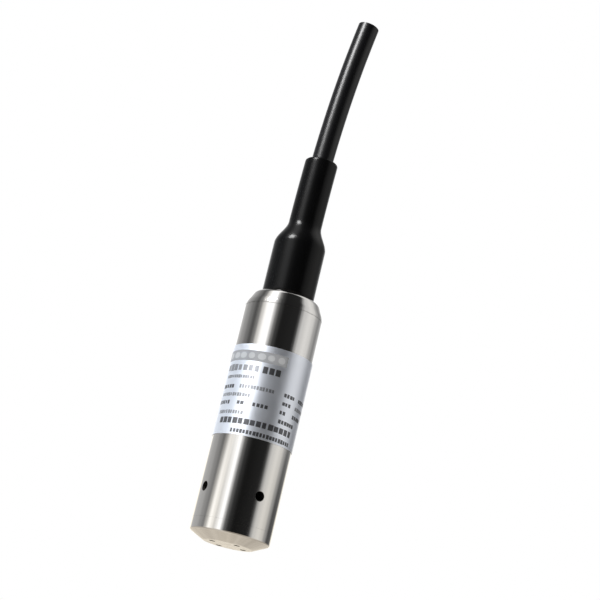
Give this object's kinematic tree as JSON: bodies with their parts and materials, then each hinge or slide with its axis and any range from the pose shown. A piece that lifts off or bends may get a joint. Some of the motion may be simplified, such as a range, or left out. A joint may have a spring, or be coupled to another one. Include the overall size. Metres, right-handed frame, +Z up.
{
  "type": "submersible level transmitter",
  "caption": "Slim stainless probe with a coned, drilled nose, side ports, a foil label band and a heat-shrink boot, hung on a short black vented cable.",
  "frame": {"origin": "centre of the flat face of the nose, on the probe's axis", "axes": "+Z up along the probe, from the nose to the cable; +X is the side that the cable stub leans to; -Y is the front that the picture shows"},
  "size_m": [0.0264, 0.0264, 0.1856],
  "materials": {
    "polished_steel": "turned and polished stainless steel, bright, faint turning marks",
    "cell_steel": "fine turned stainless steel",
    "thin_steel_foil": "thin bright stainless foil",
    "gold_plate": "gold-plated pins",
    "seal_rubber": "matt black seal rubber",
    "backup_plastic": "waxy off-white plastic",
    "sealing_glass": "dark green sealing glass, opaque",
    "sleeve_film": "amber insulating film",
    "green_board": "green circuit board, satin",
    "chip_plastic": "black moulded plastic",
    "trimmer_plastic": "blue moulded plastic",
    "lead_wire": "coloured wire insulation",
    "potting_resin": "black casting resin",
    "shrink_sleeve": "glossy black heat-shrink sleeve",
    "cable_jacket": "satin black cable jacket",
    "braid": "tinned wire braid",
    "vent_tube": "milky vent tube",
    "foil_label": "silver foil label, satin, with plain grey bars"
  },
  "bodies": {
    "root": {"nose_cap": "polished_steel", "housing_tube": "polished_steel", "end_cap": "polished_steel", "pressure_cell_body": "cell_steel", "diaphragm_weld_ring": "cell_steel", "cell_lock_ring": "cell_steel", "cell_vent_stub": "cell_steel", "storage_capacitor": "cell_steel", "lower_thrust_washer": "cell_steel", "upper_thrust_washer": "cell_steel", "gland_nut": "cell_steel", "cell_diaphragm": "thin_steel_foil", "header_pin_1": "gold_plate", "header_pin_2": "gold_plate", "header_pin_3": "gold_plate", "header_pin_4": "gold_plate", "header_pin_5": "gold_plate", "cell_oring": "seal_rubber", "cap_oring_1": "seal_rubber", "cap_oring_2": "seal_rubber", "cable_seal_bush": "seal_rubber", "cell_backup_ring": "backup_plastic", "cell_header": "sealing_glass", "board_sleeve": "sleeve_film", "amplifier_board": "green_board", "converter_chip": "chip_plastic", "amplifier_chip": "chip_plastic", "voltage_regulator": "chip_plastic", "surge_diode": "chip_plastic", "zero_trimmer": "trimmer_plastic", "span_trimmer": "trimmer_plastic", "cell_lead_1": "lead_wire", "cell_lead_2": "lead_wire", "cell_lead_3": "lead_wire", "cell_lead_4": "lead_wire", "cell_lead_5": "lead_wire", "conductor_1": "lead_wire", "conductor_2": "lead_wire", "conductor_3": "lead_wire", "conductor_4": "lead_wire", "potting_plug": "potting_resin", "shrink_boot": "shrink_sleeve", "cable_jacket": "cable_jacket", "cable_shield": "braid", "cable_vent_tube": "vent_tube", "label": "foil_label"}
  },
  "joints": []
}
